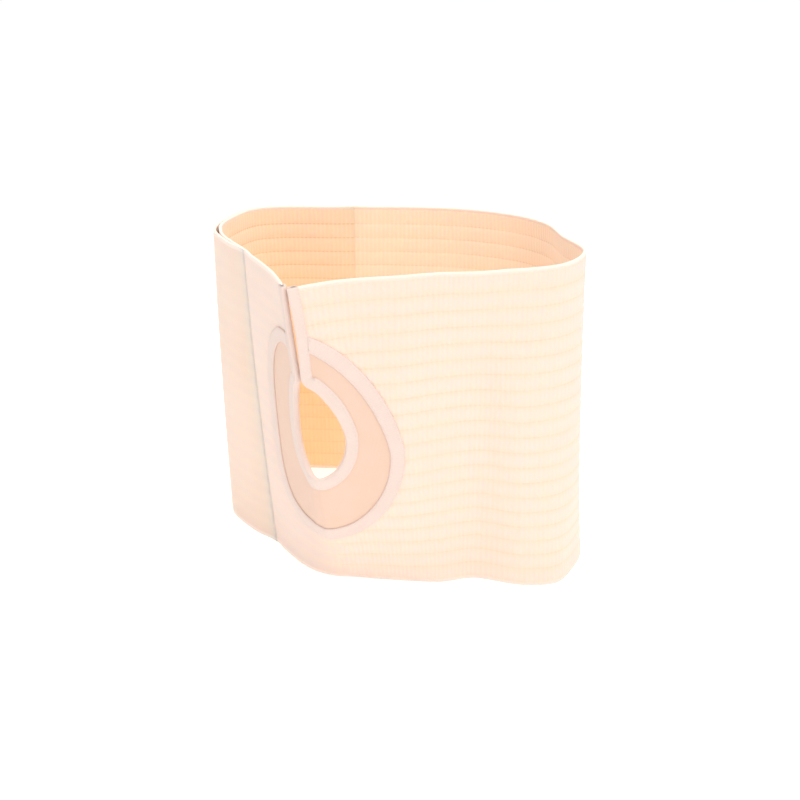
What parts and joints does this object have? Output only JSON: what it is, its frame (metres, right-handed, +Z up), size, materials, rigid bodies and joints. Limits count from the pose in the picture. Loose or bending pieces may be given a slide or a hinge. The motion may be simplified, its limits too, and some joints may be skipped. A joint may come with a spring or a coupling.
{
  "type": "hernia support belt",
  "caption": "Wide ribbed elastic support belt, closed into a standing ring, with a slit down to a bound round opening in a smooth panel.",
  "frame": {"origin": "on the floor under the middle of the belt's box, at the lower edge of the band", "axes": "+X to the right as seen from the front, +Y to the back, +Z up; the opening is at the front, on the left"},
  "size_m": [0.3074, 0.246, 0.26],
  "materials": {
    "ribbed_elastic": "ribbed cream elastic, matt",
    "panel_knit": "smooth beige knit, matt",
    "binding_tape": "woven pale tape, slight sheen",
    "hook_and_loop": "short looped pile"
  },
  "bodies": {
    "root": {"elastic_band": "ribbed_elastic", "opening_panel": "panel_knit", "panel_seam_tape": "binding_tape", "opening_binding": "binding_tape", "hidden_fastener": "hook_and_loop"}
  },
  "joints": []
}
